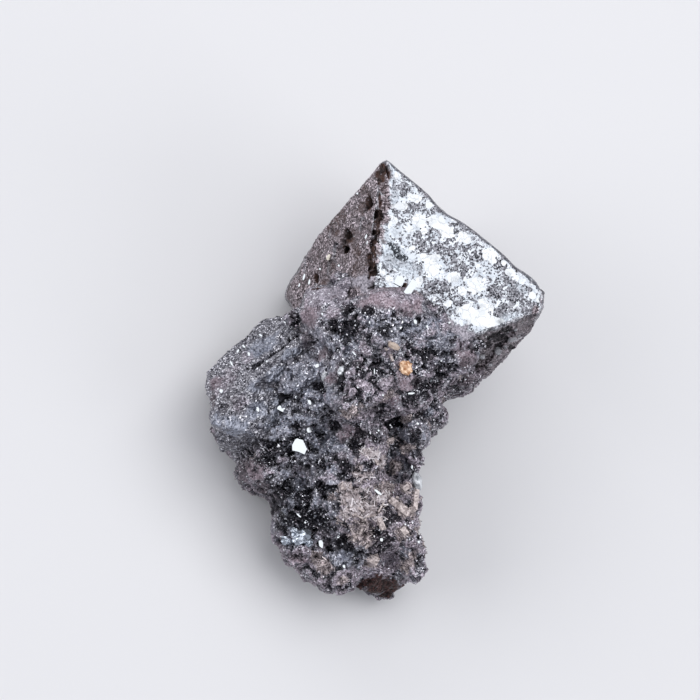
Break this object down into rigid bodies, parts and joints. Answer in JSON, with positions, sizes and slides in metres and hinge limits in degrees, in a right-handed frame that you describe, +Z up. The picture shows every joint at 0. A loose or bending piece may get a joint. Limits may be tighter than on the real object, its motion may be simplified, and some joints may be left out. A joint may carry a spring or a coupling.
{
  "type": "hematite pseudomorph specimen",
  "caption": "Natural mineral specimen: a large octahedral crystal of hematite with one bright face, grown with a smaller crystal from a lump of granular hematite.",
  "frame": {"origin": "centre of the main crystal's level back face, on the plane that the specimen lies on", "axes": "+Z up, the outward direction of the main crystal's bright face; -Z the outward direction of its back face; +Y along the specimen's length, from the groundmass towards the crystal's apex; +X towards the crystal's right tip"},
  "size_m": [0.0305, 0.0382, 0.019],
  "materials": {
    "main_crystal": "metallic steel grey, one face mirror bright and etched",
    "side_crystal": "satin blue-grey metallic",
    "matrix": "granular, glittering dark grey with tan and mauve patches"
  },
  "bodies": {
    "root": {"main_crystal": "main_crystal", "side_crystal": "side_crystal", "matrix": "matrix"}
  },
  "joints": []
}
